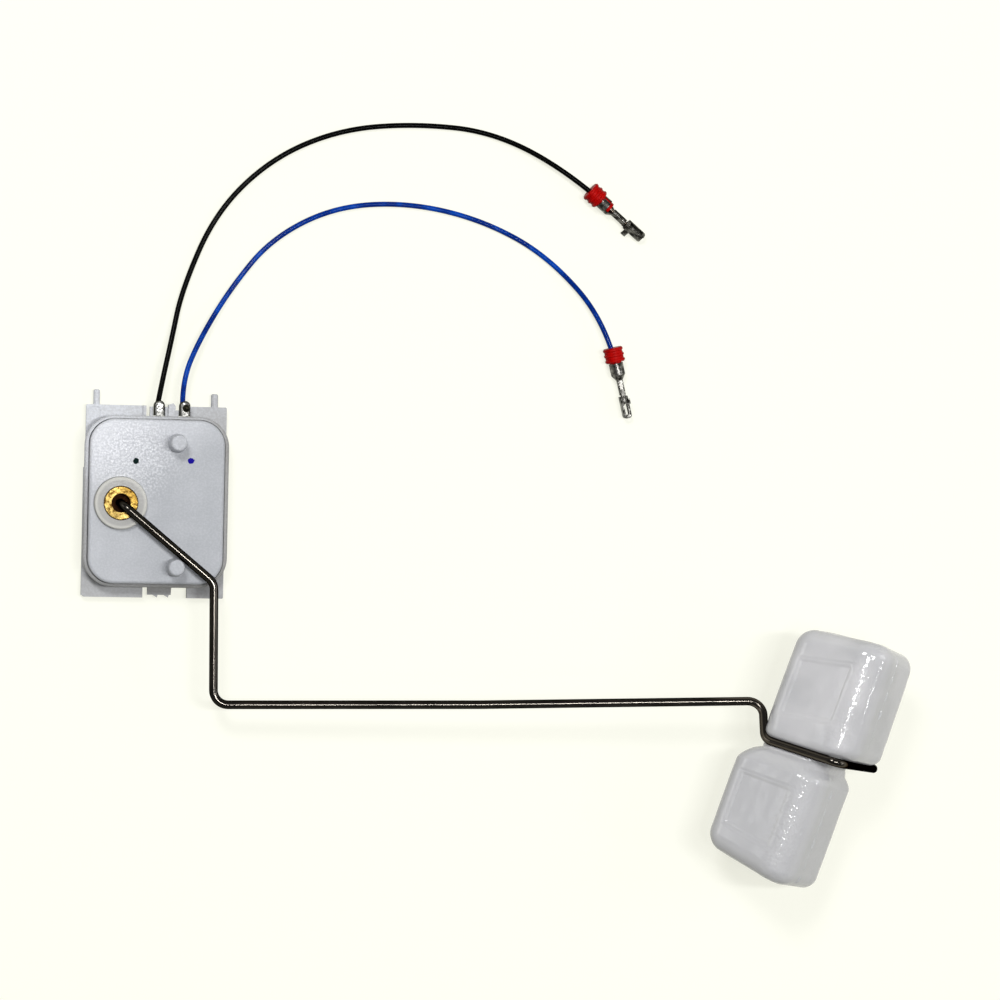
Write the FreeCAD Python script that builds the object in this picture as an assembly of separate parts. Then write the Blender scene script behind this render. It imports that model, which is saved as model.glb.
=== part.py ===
import FreeCAD, Part
import math
import os

os.makedirs("parts", exist_ok=True)

V = FreeCAD.Vector
Rotation = FreeCAD.Rotation
Placement = FreeCAD.Placement

# Level sender of a fuel tank, lying on its mounting face
# X points to the float, Y to the leads, Z along the pivot axis away from the mounting face
# The origin is on the pivot axis, in the mounting face, sizes are in millimetres

# Housing sizes
house_x = 9.7
house_y = 0.5
plate_width = 38.1
plate_height = 52.2
plate_thick = 2.4
plate_corner = 0.4
notch_x0 = 6.8
notch_x1 = 18.8
rail_step = 0.45
rail_top = 9.5
lip_width = 0.8
lip_height = 0.9
flange_width = 39.0
flange_height = 46.4
flange_corner = 8.2
flange_z0 = 5.2
flange_z1 = 7.4
flange_overhang = 0.8
flange_round = 0.9
tray_floor = 1.4
tray_wall = 1.2
rib_width = 1.4
seat_z = 6.2

# Cover sizes, inside the rim of the flange
rim_x = 1.3
rim_y = 1.0
cover_width = flange_width - 2 * rim_x
cover_height = flange_height - 2 * rim_y
cover_corner = flange_corner - rim_x
cover_gap = 0.25
cover_top = 9.4
cover_skin = 1.4
cover_wall = 0.8
cover_round = 0.9

# Locating pegs on the upper edge and the moulded catch on the lower edge
peg_left_x = -6.6
peg_left_d = 1.7
peg_left_length = 4.1
peg_right_x = 25.4
peg_right_d = 1.9
peg_right_length = 3.6
catch_x0 = 8.1
catch_x1 = 14.5
catch_length = 2.1
catch_z0 = 1.0
catch_tip = 1.2
catch_root = 3.8
tooth_length = 0.75

# Stop pegs on the cover
stop_x = 15.05
stop_up_y = 16.4
stop_down_y = -17.1
stop_base_d = 5.2
stop_top_d = 4.3
stop_height = 5.6
stop_round = 0.6

# Float arm wire
wire_d = 2.36
arm_z = 12.8
elbow_radius = 3.0
bend_radius = 4.0
arm_clear = 0.05
arm_drop_x = 25.3
arm_low = (25.8, -53.9)
arm_bow = (98.5, -53.0)
arm_bow_radius = 120.0

# Rotor, bush and magnet
hub_d = 14.2
hub_top = 11.0
bearing_clear = 0.08
retainer_d = 14.8
rotor_bottom = 4.8
bush_d = 9.3
bush_proud = 0.3
bush_depth = 5.4
bush_teeth = 44
bush_tooth_depth = 0.22
counterbore_d = 5.1
counterbore_depth = 3.0
magnet_r0 = 10.2
magnet_size = (3.2, 4.6, 2.0)
magnet_arm_width = 7.0
magnet_arm_reach = 14.6
magnet_arm_z0 = 5.0

# Sensing parts in the tray
ceramic = (4.2, 23.8, -14.5, 18.5)
ceramic_z = 3.6
ceramic_thick = 0.8
can = (6.4, 21.6, -13.0, 13.0)
can_height = 1.7
can_wall = 0.3
comb_thick = 0.12
comb_r0 = 10.0
comb_r1 = 15.6
comb_band = 1.5
comb_fingers = 19
comb_half_angle = 40.0
finger_width = 0.5
spacer_thick = 0.4

# Terminals and leads
lead_d = 1.45
lead_z = 5.65
black_x = 10.1
blue_x = 17.0
black_lead_x = 9.55
blue_lead_x = 16.4
strip_width = 2.0
strip_thick = 0.5
barrel_width = 3.0
barrel_length = 4.1
barrel_height = 2.5
barrel_end_round = 1.4
barrel_round = 0.9
solder_r = 0.95
solder_at = (0.4, 2.1)
barrel_clear = 0.2
lead_grip = 1.6
strand_d = 0.9

# Moulded guides between the two terminals
guide_clear = 0.1
guide_width = 1.9
guide_post = 0.8
guide_reach = 3.6
guide_left_reach = 2.6
guide_right_reach = 1.7
guide_z0 = 2.6

# Wire seals and crimped contacts
seal_d = 5.6
seal_root_d = 5.1
seal_length = 4.1
seal_neck_d = 3.4
seal_neck_length = 3.5
rib_base = 0.45
rib_crest = 0.22
wing_short = 0.9
crimp_width = 1.7
crimp_length = 4.4
crimp_grooves = 5
box_wide = 2.3
box_tall = 2.4
box_length = 6.2
box_tip_round = 0.8
fin_height = 1.7
contact_metal = 0.3
contact_pitch = 3.6
black_seal_at = (128.35, 89.5)
black_heading = -39.4
black_roll = -40
blue_seal_at = (135.7, 45.95)
blue_heading = -75.4
blue_roll = 180

# Float sizes
float_side = 27.2
float_top_half = 36.3
float_top_half_arm_side = 32.7
float_low_half = 36.6
float_low_half_arm_side = 32.8
float_top_fall = 2.7
float_flare = 0.9
float_shift = 2.4
float_gap = 1.8
float_skew = 0.8
float_round = 4.8
float_front_round = 8.0
neck_right = 9.2
float_wall = 1.4
float_panel = (14.6, 15.8, 0.3)
float_at = (189.9, -65.5)
float_turn = -18.6
float_lean = 4.0
float_roll = -38.7


# Shared shape helpers
def rounded_block(cx, cy, width, height, corner, z0, z1):
    x0 = cx - width / 2
    y0 = cy - height / 2
    block = Part.makeBox(width, height, z1 - z0, V(x0, y0, z0))
    upright = [e for e in block.Edges if abs(e.tangentAt(e.FirstParameter).z) > 0.9]
    return block.makeFillet(corner, upright)


def block_between(x0, x1, y0, y1, z0, z1):
    return Part.makeBox(x1 - x0, y1 - y0, z1 - z0, V(x0, y0, z0))


def prism(points, direction):
    ring = [V(*p) for p in points]
    return Part.Face(Part.makePolygon(ring + [ring[0]])).extrude(direction)


def post(x, y, z0, z1, radius):
    return Part.makeCylinder(radius, z1 - z0, V(x, y, z0))


def joined(shapes):
    whole = shapes[0].multiFuse(shapes[1:])
    return whole.removeSplitter()


def edges_at(shape, height, outer):
    found = []
    for edge in shape.Edges:
        box = edge.BoundBox
        if abs(box.ZMin - height) > 1e-6 or abs(box.ZMax - height) > 1e-6:
            continue
        if outer(edge.CenterOfMass):
            found.append(edge)
    return found


def save(shape, node):
    solids = shape.Solids
    solid = solids[0] if len(solids) == 1 else shape
    ok = shape.isValid()
    print("%-16s solids %d valid %s volume %.1f" % (node, len(solids), ok, shape.Volume))
    solid.exportStep("parts/%s.step" % node)


# A wire or lead is a run of straight lines joined by tangent arcs
def bent_line(points, radii):
    edges = []
    start = points[0]
    for i in range(1, len(points) - 1):
        corner = points[i]
        come = (corner - points[i - 1]).normalize()
        go = (points[i + 1] - corner).normalize()
        half = come.getAngle(go) / 2
        reach = radii[i - 1] * math.tan(half)
        enter = corner - come * reach
        leave = corner + go * reach
        inward = (go - come).normalize()
        centre = corner + inward * (radii[i - 1] / math.cos(half))
        middle = centre - inward * radii[i - 1]
        edges.append(Part.LineSegment(start, enter).toShape())
        edges.append(Part.Arc(enter, middle, leave).toShape())
        start = leave
    edges.append(Part.LineSegment(start, points[-1]).toShape())
    return Part.Wire(edges)


def round_bar(points, radii, diameter):
    line = bent_line(points, radii)
    heading = points[1] - points[0]
    section = Part.Wire([Part.makeCircle(diameter / 2, points[0], heading)])
    return line.makePipeShell([section], True, False), line.Length


# A limp lead takes the widest arc that its shorter run allows
def lead_radii(points):
    radii = []
    for i in range(1, len(points) - 1):
        come = points[i] - points[i - 1]
        go = points[i + 1] - points[i]
        shorter = min(come.Length, go.Length)
        radii.append(0.45 * shorter / math.tan(come.getAngle(go) / 2))
    return radii


# Base: plate, tray and flange in one moulding
house_bottom = house_y - plate_height / 2
house_top = house_y + plate_height / 2
plate_x0 = house_x - plate_width / 2
flange_top_y = house_y + flange_height / 2
flange_low_y = house_y - flange_height / 2
wall_width = flange_width - 2 * flange_overhang
wall_height = flange_height - 2 * flange_overhang
wall_corner = flange_corner - flange_overhang
pocket_width = wall_width - 2 * tray_wall
pocket_height = wall_height - 2 * tray_wall
pocket_corner = wall_corner - tray_wall
pocket_top_y = house_y + pocket_height / 2
barrel_y0 = flange_top_y + barrel_clear
terminals_x = (black_x, blue_x)


def base_plate():
    plate = rounded_block(house_x, house_y, plate_width, plate_height, plate_corner, 0, plate_thick)
    rail_low = house_bottom + plate_corner
    rail = block_between(plate_x0 - rail_step, plate_x0 + 1, rail_low, rail_top, 0, plate_thick)
    plate = plate.fuse(rail)
    wall_low = house_y - wall_height / 2
    wall_top = house_y + wall_height / 2
    plate = plate.cut(block_between(notch_x0, notch_x1, wall_top, house_top + 1, -1, plate_thick + 1))
    plate = plate.cut(block_between(notch_x0, notch_x1, house_bottom - 1, wall_low, -1, plate_thick + 1))
    lip_top = plate_thick + lip_height
    return plate.fuse(block_between(notch_x0 - lip_width, notch_x0, wall_top - 0.4, house_top, 0, lip_top))


def locating_peg(x, diameter, length):
    root = 2.0
    peg = Part.makeCylinder(diameter / 2, length + root, V(x, house_top - root, plate_thick / 2), V(0, 1, 0))
    tip = [e for e in peg.Edges if e.BoundBox.YMin > house_top + length - 0.01]
    return peg.makeChamfer(0.3, tip)


def catch():
    top = house_y - wall_height / 2 + 0.4
    low = flange_low_y - catch_length
    side = [
        (catch_x0, top, catch_z0),
        (catch_x0, top, catch_z0 + catch_root),
        (catch_x0, low, catch_z0 + catch_tip),
        (catch_x0, low, catch_z0),
    ]
    pieces = [prism(side, V(catch_x1 - catch_x0, 0, 0))]
    step = (catch_x1 - catch_x0) / 2
    for x in (catch_x0 + 0.72 * step, catch_x0 + 1.66 * step):
        tooth = [(x - 0.9, low), (x + 0.35, low - tooth_length), (x + 0.55, low)]
        pieces.append(prism([(a, b, catch_z0) for a, b in tooth], V(0, 0, catch_tip)))
    return pieces


def lead_guides():
    start = house_y + wall_height / 2 - 0.4
    x0 = black_x + barrel_width / 2 + guide_clear
    x1 = blue_x - barrel_width / 2 - guide_clear
    mid0 = (x0 + x1 - guide_width) / 2
    mid1 = mid0 + guide_width
    peak = flange_top_y + guide_reach
    outline = [
        (mid0, start),
        (mid1, start),
        (mid1, peak - 0.7),
        (mid0 + 0.7 * guide_width, peak),
        (mid0, peak - 0.4),
    ]
    tall = prism([(x, y, guide_z0) for x, y in outline], V(0, 0, 3.4))
    left = block_between(x0, mid0 + 0.2, start, flange_top_y + guide_left_reach, guide_z0, guide_z0 + 2.4)
    right = block_between(mid1 - 0.2, x1, start, flange_top_y + guide_right_reach, guide_z0, guide_z0 + 2.8)
    outside = black_x - barrel_width / 2 - guide_clear
    lone_y = flange_top_y + guide_left_reach
    lone = block_between(outside - guide_post, outside, start, lone_y, guide_z0, guide_z0 + 2.4)
    return [tall, left, right, lone]


def make_base():
    wall = rounded_block(house_x, house_y, wall_width, wall_height, wall_corner, 0, flange_z1)
    flange = rounded_block(house_x, house_y, flange_width, flange_height, flange_corner, flange_z0, flange_z1)
    rim = edges_at(flange, flange_z1, lambda c: True)
    flange = flange.makeFillet(flange_round, rim)
    pegs = [
        locating_peg(peg_left_x, peg_left_d, peg_left_length),
        locating_peg(peg_right_x, peg_right_d, peg_right_length),
    ]
    body = joined([base_plate(), wall, flange] + pegs + catch() + lead_guides())
    pocket = rounded_block(
        house_x, house_y, pocket_width, pocket_height, pocket_corner, tray_floor, flange_z1 + 1
    )
    seat = rounded_block(
        house_x,
        house_y,
        cover_width + 2 * cover_gap,
        cover_height + 2 * cover_gap,
        cover_corner + cover_gap,
        seat_z,
        flange_z1 + 1,
    )
    body = body.cut(pocket).cut(seat)
    boss = post(0, 0, tray_floor - 0.2, rotor_bottom - 0.1, 2.6)
    ribs = []
    half = rib_width / 2
    for x in (ceramic[0] + 0.5, ceramic[1] - 0.5):
        rib = block_between(x - half, x + half, ceramic[2], ceramic[3] - 0.5, tray_floor - 0.2, ceramic_z)
        ribs.append(rib)
    body = joined([body, boss] + ribs)
    body = body.cut(post(0, 0, 0.8, rotor_bottom + 1, wire_d / 2 + bearing_clear))
    body = body.cut(post(peg_left_x - 0.4, house_top - 2.1, plate_thick - 0.2, plate_thick + 1, 1.6))
    strip_z = ceramic_z + ceramic_thick
    for x in terminals_x:
        half = strip_width / 2
        body = body.cut(
            block_between(x - half, x + half, pocket_top_y - 1, barrel_y0, strip_z, strip_z + strip_thick)
        )
    return body


save(make_base(), "base_housing")


# Cover: a shallow lid on the seat of the flange, with a bearing bore and the two stop pegs
def stop_peg(y):
    low = cover_top - 0.4
    high = cover_top + stop_height
    peg = Part.makeCone(stop_base_d / 2, stop_top_d / 2, high - low, V(stop_x, y, low))
    return peg.makeFillet(stop_round, edges_at(peg, high, lambda c: True))


def make_cover():
    lid = rounded_block(house_x, house_y, cover_width, cover_height, cover_corner, seat_z, cover_top)
    lid = lid.makeFillet(cover_round, edges_at(lid, cover_top, lambda c: True))
    hollow = rounded_block(
        house_x,
        house_y,
        cover_width - 2 * cover_wall,
        cover_height - 2 * cover_wall,
        cover_corner - cover_wall,
        seat_z - 1,
        cover_top - cover_skin,
    )
    lid = lid.cut(hollow)
    lid = joined([lid, stop_peg(stop_up_y), stop_peg(stop_down_y)])
    return lid.cut(post(0, 0, seat_z - 1, cover_top + 1, hub_d / 2 + bearing_clear))


save(make_cover(), "cover")

# The arm rests beside the lower stop peg
stop_mid_d = stop_base_d + (stop_top_d - stop_base_d) * (arm_z - cover_top) / stop_height
touch = (stop_mid_d + wire_d) / 2 + arm_clear
low_distance = math.hypot(stop_x, stop_down_y)
rest_angle = math.degrees(math.atan2(stop_down_y, stop_x) + math.asin(touch / low_distance))
up_distance = math.hypot(stop_x, stop_up_y)
top_angle = math.degrees(math.atan2(stop_up_y, stop_x) - math.asin(touch / up_distance))
print("rest angle %.3f, upper stop %.3f, swing %.3f" % (rest_angle, top_angle, top_angle - rest_angle))


# Rotor: collar seen above the cover, retaining edge and magnet holder below it
def turned(shape):
    shape.rotate(V(0, 0, 0), V(0, 0, 1), rest_angle)
    return shape


bush_top = hub_top + bush_proud
bush_bottom = bush_top - bush_depth
retainer_z1 = cover_top - cover_skin - 0.4


def make_rotor():
    collar = post(0, 0, retainer_z1 - 1, hub_top, hub_d / 2)
    collar = collar.makeFillet(0.5, edges_at(collar, hub_top, lambda c: True))
    retainer = post(0, 0, retainer_z1 - 1.1, retainer_z1, retainer_d / 2)
    foot = post(0, 0, rotor_bottom, retainer_z1 - 0.5, 5.9)
    half = magnet_arm_width / 2
    holder = block_between(0, magnet_arm_reach, -half, half, magnet_arm_z0, retainer_z1)
    end = [e for e in holder.Edges if e.BoundBox.XMin > magnet_arm_reach - 0.01 and e.BoundBox.ZLength > 1]
    holder = turned(holder.makeFillet(1.4, end))
    rotor = joined([collar, retainer, foot, holder])
    rotor = rotor.cut(post(0, 0, bush_bottom, hub_top + 1, bush_d / 2))
    rotor = rotor.cut(post(0, 0, rotor_bottom - 1, bush_bottom + 1, wire_d / 2))
    return rotor.cut(make_magnet())


def make_magnet():
    long, wide, tall = magnet_size
    x1 = magnet_r0 + long
    return turned(block_between(magnet_r0, x1, -wide / 2, wide / 2, magnet_arm_z0, magnet_arm_z0 + tall))


save(make_rotor(), "rotor")
save(make_magnet(), "magnet")


# Brass bush with a serrated edge, pressed into the collar
def make_bush():
    ring = []
    for i in range(2 * bush_teeth):
        angle = math.pi * i / bush_teeth
        radius = bush_d / 2 - (bush_tooth_depth if i % 2 else 0)
        ring.append((radius * math.cos(angle), radius * math.sin(angle), bush_bottom))
    bush = prism(ring, V(0, 0, bush_depth))
    bush = bush.cut(post(0, 0, bush_top - counterbore_depth, bush_top + 1, counterbore_d / 2))
    return bush.cut(post(0, 0, bush_bottom - 1, bush_top, wire_d / 2))


save(make_bush(), "brass_bush")

# Float: two offset lobes on one neck, blow moulded as one hollow shell
float_turning = Rotation(V(0, 0, 1), float_turn)
float_turning = float_turning.multiply(Rotation(V(1, 0, 0), float_lean))
float_turning = float_turning.multiply(Rotation(V(0, 1, 0), float_roll))


def sharp_edges(block):
    curved = [f for f in block.Faces if not isinstance(f.Surface, Part.Plane)]
    smooth = [e for f in curved for e in f.Edges if isinstance(e.Curve, Part.Line)]
    return [e for e in block.Edges if not any(e.isSame(s) for s in smooth)]


# The upper end falls away towards the back
def sloped_end(left, right):
    beyond = (right - left) * 0.2
    back = V(0, -float_top_fall, -float_side)
    start = left - beyond - back * 0.2
    end = right + beyond - back * 0.2
    corners = [start, end, end + back * 1.4, start + back * 1.4]
    return prism(corners, V(0, float_side, 0))


def lobe(side, inset):
    upper = side > 0
    x0 = side * float_shift - float_side / 2 + inset
    x1 = side * float_shift + float_side / 2 - inset
    wide_x1 = x1 + (float_flare if upper else 0)
    near_x0 = side * (float_gap + inset) - float_skew
    near_x1 = side * (float_gap + inset) + float_skew
    arm_end = side * ((float_top_half_arm_side if upper else float_low_half_arm_side) - inset)
    far_end = side * ((float_top_half if upper else float_low_half) - inset)
    depth = float_side - 2 * inset
    outline = [(x0, near_x0), (wide_x1, near_x1), (x1, far_end), (x0, arm_end)]
    block = prism([(x, y, -depth / 2) for x, y in outline], V(0, 0, depth))
    if upper:
        block = block.cut(sloped_end(V(x0, arm_end, depth / 2), V(x1, far_end, depth / 2)))
    front = [e for e in block.Edges if e.BoundBox.ZMin > depth / 2 - 0.01 and e.BoundBox.XMin > x1 - 0.01]
    block = block.makeFillet(float_front_round - inset, front)
    return block.makeFillet(float_round - inset, sharp_edges(block))


def neck(inset):
    left = float_side / 2 - float_shift - 0.15
    half_z = float_side / 2 - 2.75 - inset
    half_y = float_gap + float_round
    block = block_between(inset - left, neck_right - inset, -half_y, half_y, -half_z, half_z)
    upright = [e for e in block.Edges if e.BoundBox.YLength > half_y]
    return block.makeFillet(3.0 - inset, upright)


def panel(side):
    wide, tall, deep = float_panel
    face = float_side / 2
    middle = side * 18.0
    left = side * float_shift - wide / 2 - 1.5
    return block_between(left, left + wide, middle - tall / 2, middle + tall / 2, face - deep, face + 1)


outer = joined([lobe(1, 0), neck(0), lobe(-1, 0)])
inner = joined([lobe(1, float_wall), neck(float_wall), lobe(-1, float_wall)])
lowest = outer.copy()
lowest.Placement = Placement(V(0, 0, 0), float_turning)
float_z = -lowest.BoundBox.ZMin + 0.02
float_place = Placement(V(float_at[0], float_at[1], float_z), float_turning)
print("float centre height %.2f" % float_z)

# Where the arm meets the float, in the float's own frame
groove_z = float_side / 2 - 2.2
grip_points = [
    V(-15.2, 9.4, 8.0),
    V(-9.2, 0.0, groove_z),
    V(13.9, 1.35, groove_z),
    V(14.2, 2.2, -12.6),
]
wire_end = [float_place.multVec(p) for p in grip_points]


# Float arm: wire from the pivot bearing to the float
def make_arm():
    drop_y = arm_drop_x * math.tan(math.radians(rest_angle))
    rise = wire_end[0].z - arm_z
    part_way = (arm_bow[0] - arm_low[0]) / (wire_end[0].x - arm_low[0])
    points = [
        V(0, 0, 1.0),
        V(0, 0, arm_z),
        V(arm_drop_x, drop_y, arm_z),
        V(arm_low[0], arm_low[1], arm_z),
        V(arm_bow[0], arm_bow[1], arm_z + rise * part_way),
    ]
    points = points + wire_end
    radii = [elbow_radius, bend_radius, bend_radius, arm_bow_radius, bend_radius, 3.5, 3.2]
    for p in points:
        print("   arm point %.2f %.2f %.2f" % (p.x, p.y, p.z))
    return round_bar(points, radii, wire_d)


arm, arm_length = make_arm()
straight_volume = math.pi * wire_d ** 2 / 4 * arm_length
print("arm length %.1f, volume ratio %.4f" % (arm_length, arm.Volume / straight_volume))
save(arm, "float_arm")


def make_float():
    hull = outer.cut(panel(1)).cut(panel(-1))
    hull.Placement = float_place
    void = inner.copy()
    void.Placement = float_place
    return hull.cut(arm).cut(void)


save(make_float(), "float")

# Ceramic resistor plate on the two ribs of the tray
save(
    block_between(*ceramic, ceramic_z, ceramic_z + ceramic_thick),
    "ceramic_plate",
)


# Soldered can below the plate, open upwards
def make_can():
    x0, x1, y0, y1 = can
    low = ceramic_z - can_height
    shell = block_between(x0, x1, y0, y1, low, ceramic_z)
    w = can_wall
    return shell.cut(block_between(x0 + w, x1 - w, y0 + w, y1 - w, low + w, ceramic_z + 1))


save(make_can(), "sensor_can")


# Sector of a ring about the pivot, as wide as the swing of the magnet
def sector(r0, r1, z0, z1, half_angle):
    ring = Part.makeCylinder(r1, z1 - z0, V(0, 0, z0), V(0, 0, 1), 2 * half_angle)
    ring = ring.cut(post(0, 0, z0 - 1, z1 + 1, r0))
    ring.rotate(V(0, 0, 0), V(0, 0, 1), -half_angle)
    return ring


comb_z1 = ceramic_z - spacer_thick
save(sector(comb_r1 - comb_band, comb_r1, comb_z1, ceramic_z, comb_half_angle + 1), "comb_spacer")


# Comb of contact springs below the spacer, one finger for each step of the resistor
def make_comb():
    band = sector(comb_r1 - comb_band, comb_r1, comb_z1 - comb_thick, comb_z1, comb_half_angle + 1)
    pieces = [band]
    half = finger_width / 2
    for i in range(comb_fingers):
        angle = comb_half_angle * (2 * i / (comb_fingers - 1) - 1)
        finger = block_between(comb_r0, comb_r1 - comb_band / 2, -half, half, comb_z1 - comb_thick, comb_z1)
        finger.rotate(V(0, 0, 0), V(0, 0, 1), angle)
        pieces.append(finger)
    return joined(pieces)


save(make_comb(), "contact_comb")


# Lead terminal: strip on the ceramic plate and rolled barrel outside the tray
def make_terminal(x, points, lumps):
    strip_z = ceramic_z + ceramic_thick
    half = strip_width / 2
    strip = block_between(x - half, x + half, ceramic[3] - 4.5, barrel_y0 + 1, strip_z, strip_z + strip_thick)
    half = barrel_width / 2
    barrel_y1 = barrel_y0 + barrel_length
    low = lead_z - barrel_height / 2
    barrel = block_between(x - half, x + half, barrel_y0, barrel_y1, low, low + barrel_height)
    far = [e for e in barrel.Edges if e.BoundBox.YMin > barrel_y1 - 0.01 and e.BoundBox.ZLength > 1]
    barrel = barrel.makeFillet(barrel_end_round, far)
    crown = edges_at(barrel, low + barrel_height, lambda c: c.y > barrel_y0 + 0.1)
    barrel = barrel.makeFillet(barrel_round, crown)
    bore = Part.makeCylinder(lead_d / 2, lead_grip + 1, points[0], points[1] - points[0])
    return joined([barrel, strip] + lumps).cut(bore)


# Drop of solder on the barrel of the blue lead
def solder_drop(x):
    crown_z = lead_z + barrel_height / 2
    return Part.makeSphere(solder_r, V(x + solder_at[0], barrel_y0 + solder_at[1], crown_z))


# Wire seal: ribbed rubber sleeve with a neck that the crimp grips, along its own X axis
def make_seal():
    root = seal_root_d / 2
    tip = seal_d / 2
    outline = [(0, lead_d / 2), (0, root)]
    for middle in (0.13 * seal_length, 0.5 * seal_length, 0.87 * seal_length):
        outline += [(middle - rib_base, root), (middle - rib_crest, tip)]
        outline += [(middle + rib_crest, tip), (middle + rib_base, root)]
    outline += [(seal_length, root), (seal_length, seal_neck_d / 2)]
    outline += [(neck_end, seal_neck_d / 2), (neck_end, lead_d / 2)]
    ring = [V(x, 0, r) for x, r in outline]
    face = Part.Face(Part.makePolygon(ring + [ring[0]]))
    return face.revolve(V(0, 0, 0), V(1, 0, 0), 360)


# Crimped contact: wings on the seal neck, tapered cup, strand crimp and box with a guiding fin
along = V(1, 0, 0)
neck_end = seal_length + seal_neck_length
wing_x0 = seal_length + 0.3
wing_x1 = neck_end - wing_short
cup_x1 = neck_end + 0.1
strand_x0 = cup_x1 + 1.3
strand_x1 = strand_x0 + crimp_length
box_x0 = strand_x1 + 0.5
box_x1 = box_x0 + box_length


def contact_cup():
    inside = seal_neck_d / 2
    outside = inside + contact_metal
    narrow = crimp_width / 2
    taper = strand_x0 + 0.4 - cup_x1
    sleeve = Part.makeCylinder(outside, cup_x1 - wing_x0, V(wing_x0, 0, 0), along)
    sleeve = sleeve.cut(Part.makeCylinder(inside, cup_x1, V(0, 0, 0), along))
    sleeve = sleeve.cut(block_between(wing_x0 - 1, cup_x1 + 1, -0.5, 0.5, 0, outside + 1))
    sleeve = sleeve.cut(block_between(wing_x1, cup_x1 + 1, -outside - 1, outside + 1, 0, outside + 1))
    cone = Part.makeCone(outside, narrow, taper, V(cup_x1, 0, 0), along)
    cone = cone.cut(Part.makeCone(inside, narrow - contact_metal, taper, V(cup_x1, 0, 0), along))
    cone = cone.cut(block_between(cup_x1 - 1, strand_x0 + 1, -outside, outside, 0, outside))
    return [sleeve, cone]


def strand_crimp():
    half = crimp_width / 2
    crimp = block_between(strand_x0, strand_x1, -half, half, -half - 0.1, half - 0.1)
    crimp = crimp.makeFillet(0.45, [e for e in crimp.Edges if e.BoundBox.XLength > 1])
    pitch = crimp_length / (crimp_grooves + 1)
    for i in range(crimp_grooves):
        x = strand_x0 + pitch * (i + 1)
        crimp = crimp.cut(block_between(x - 0.12, x + 0.12, -half, half, -half - 0.1, -half + 0.02))
        crimp = crimp.cut(block_between(x - 0.12, x + 0.12, -half, -half + 0.12, -half, half))
    crimp = crimp.cut(Part.makeCylinder(strand_d / 2, crimp_length + 2, V(strand_x0 - 1, 0, 0), along))
    return crimp.cut(block_between(strand_x0 - 1, strand_x1 + 1, -0.12, 0.12, 0, half))


def contact_box():
    half_y = box_wide / 2
    half_z = box_tall / 2
    w = contact_metal
    box = block_between(box_x0, box_x1, -half_y, half_y, -half_z, half_z)
    tip = [e for e in box.Edges if e.BoundBox.XMin > box_x1 - 0.01 and e.BoundBox.ZLength > 1]
    box = box.makeFillet(box_tip_round, tip)
    box = box.makeFillet(0.3, [e for e in box.Edges if e.BoundBox.XLength > 3])
    box = box.cut(block_between(box_x0 - 1, box_x1 + 1, w - half_y, half_y - w, w - half_z, half_z - w))
    box = box.cut(block_between(box_x0 + 2.6, box_x1 - 1.3, -0.5, 0.5, -half_z, 0))
    for x in (box_x0 + 2.6, box_x1 - 1.3):
        box = box.cut(post(x, 0, -half_z, 0, 0.5))
    box = box.cut(block_between(box_x0 + 0.8, box_x1 - 0.9, -0.6, 0.6, 0, half_z))
    for z in (-0.4, 0.4):
        box = box.cut(block_between(box_x0 + 0.3, box_x1 - 1.0, -half_y, -half_y + 0.12, z - 0.08, z + 0.08))
    return box


def make_contact():
    half = crimp_width / 2
    bridge = block_between(strand_x1 - 0.3, box_x0 + 0.3, -0.75, 0.75, -half - 0.1, -half + 0.25)
    out = -box_wide / 2
    low = -box_tall / 2
    fin = block_between(box_x0 + 0.7, box_x0 + 2.2, out, out + contact_metal, low - fin_height, low + 0.6)
    return joined(contact_cup() + [strand_crimp(), bridge, contact_box(), fin])


# Bare strands between the lead and the end of their crimp
def make_strands():
    return Part.makeCylinder(strand_d / 2, strand_x1 + 0.3 - neck_end, V(neck_end, 0, 0), along)


# Each seal lies on its ribs and its contact tips down to the surface
slope = math.radians(contact_pitch)
seal_mid_z = seal_d / 2 + 0.37 * seal_length * math.sin(slope) + 0.03
seal_rear_z = seal_mid_z + seal_length / 2 * math.sin(slope)


def lead_end(x, y, heading, roll):
    turn = Rotation(V(0, 0, 1), heading)
    turn = turn.multiply(Rotation(V(0, 1, 0), contact_pitch))
    turn = turn.multiply(Rotation(V(1, 0, 0), roll))
    return Placement(V(x, y, seal_rear_z), turn)


black_end = lead_end(*black_seal_at, black_heading, black_roll)
blue_end = lead_end(*blue_seal_at, blue_heading, blue_roll)

# Leads, from the barrel of the terminal to the end of the seal neck
on_floor = lead_d / 2 + 0.005
black_fall = [(10.8, 33.4, 5.4), (13.2, 44.5, 3.0)]
black_floor = [(15.95, 58.5), (24.65, 79.8), (39.4, 95.0), (57.9, 104.1), (78.7, 106.8), (101.5, 105.2)]
blue_fall = [(16.2, 33.6, 5.5), (20.9, 45.1, 3.1)]
blue_floor = [(29.35, 59.5), (40.3, 73.4), (57.6, 82.7), (78.1, 84.5), (99.0, 80.3), (117.7, 70.8)]


def lead_route(x, fall_points, floor_points, end):
    start_y = barrel_y0 + barrel_length - lead_grip
    points = [V(x, start_y, lead_z)]
    points += [V(*p) for p in fall_points]
    points += [V(a, b, on_floor) for a, b in floor_points]
    return points + [end.multVec(V(-7.0, 0, 0)), end.multVec(V(neck_end, 0, 0))]


def make_lead(name, points):
    radii = lead_radii(points)
    tube, length = round_bar(points, radii, lead_d)
    print("%s lead length %.1f" % (name, length))
    print("   radii " + " ".join("%.1f" % r for r in radii))
    print("   volume ratio %.4f" % (tube.Volume / (math.pi * lead_d ** 2 / 4 * length)))
    for p in points:
        print("   %s point %.2f %.2f %.2f" % (name, p.x, p.y, p.z))
    return tube


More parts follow.
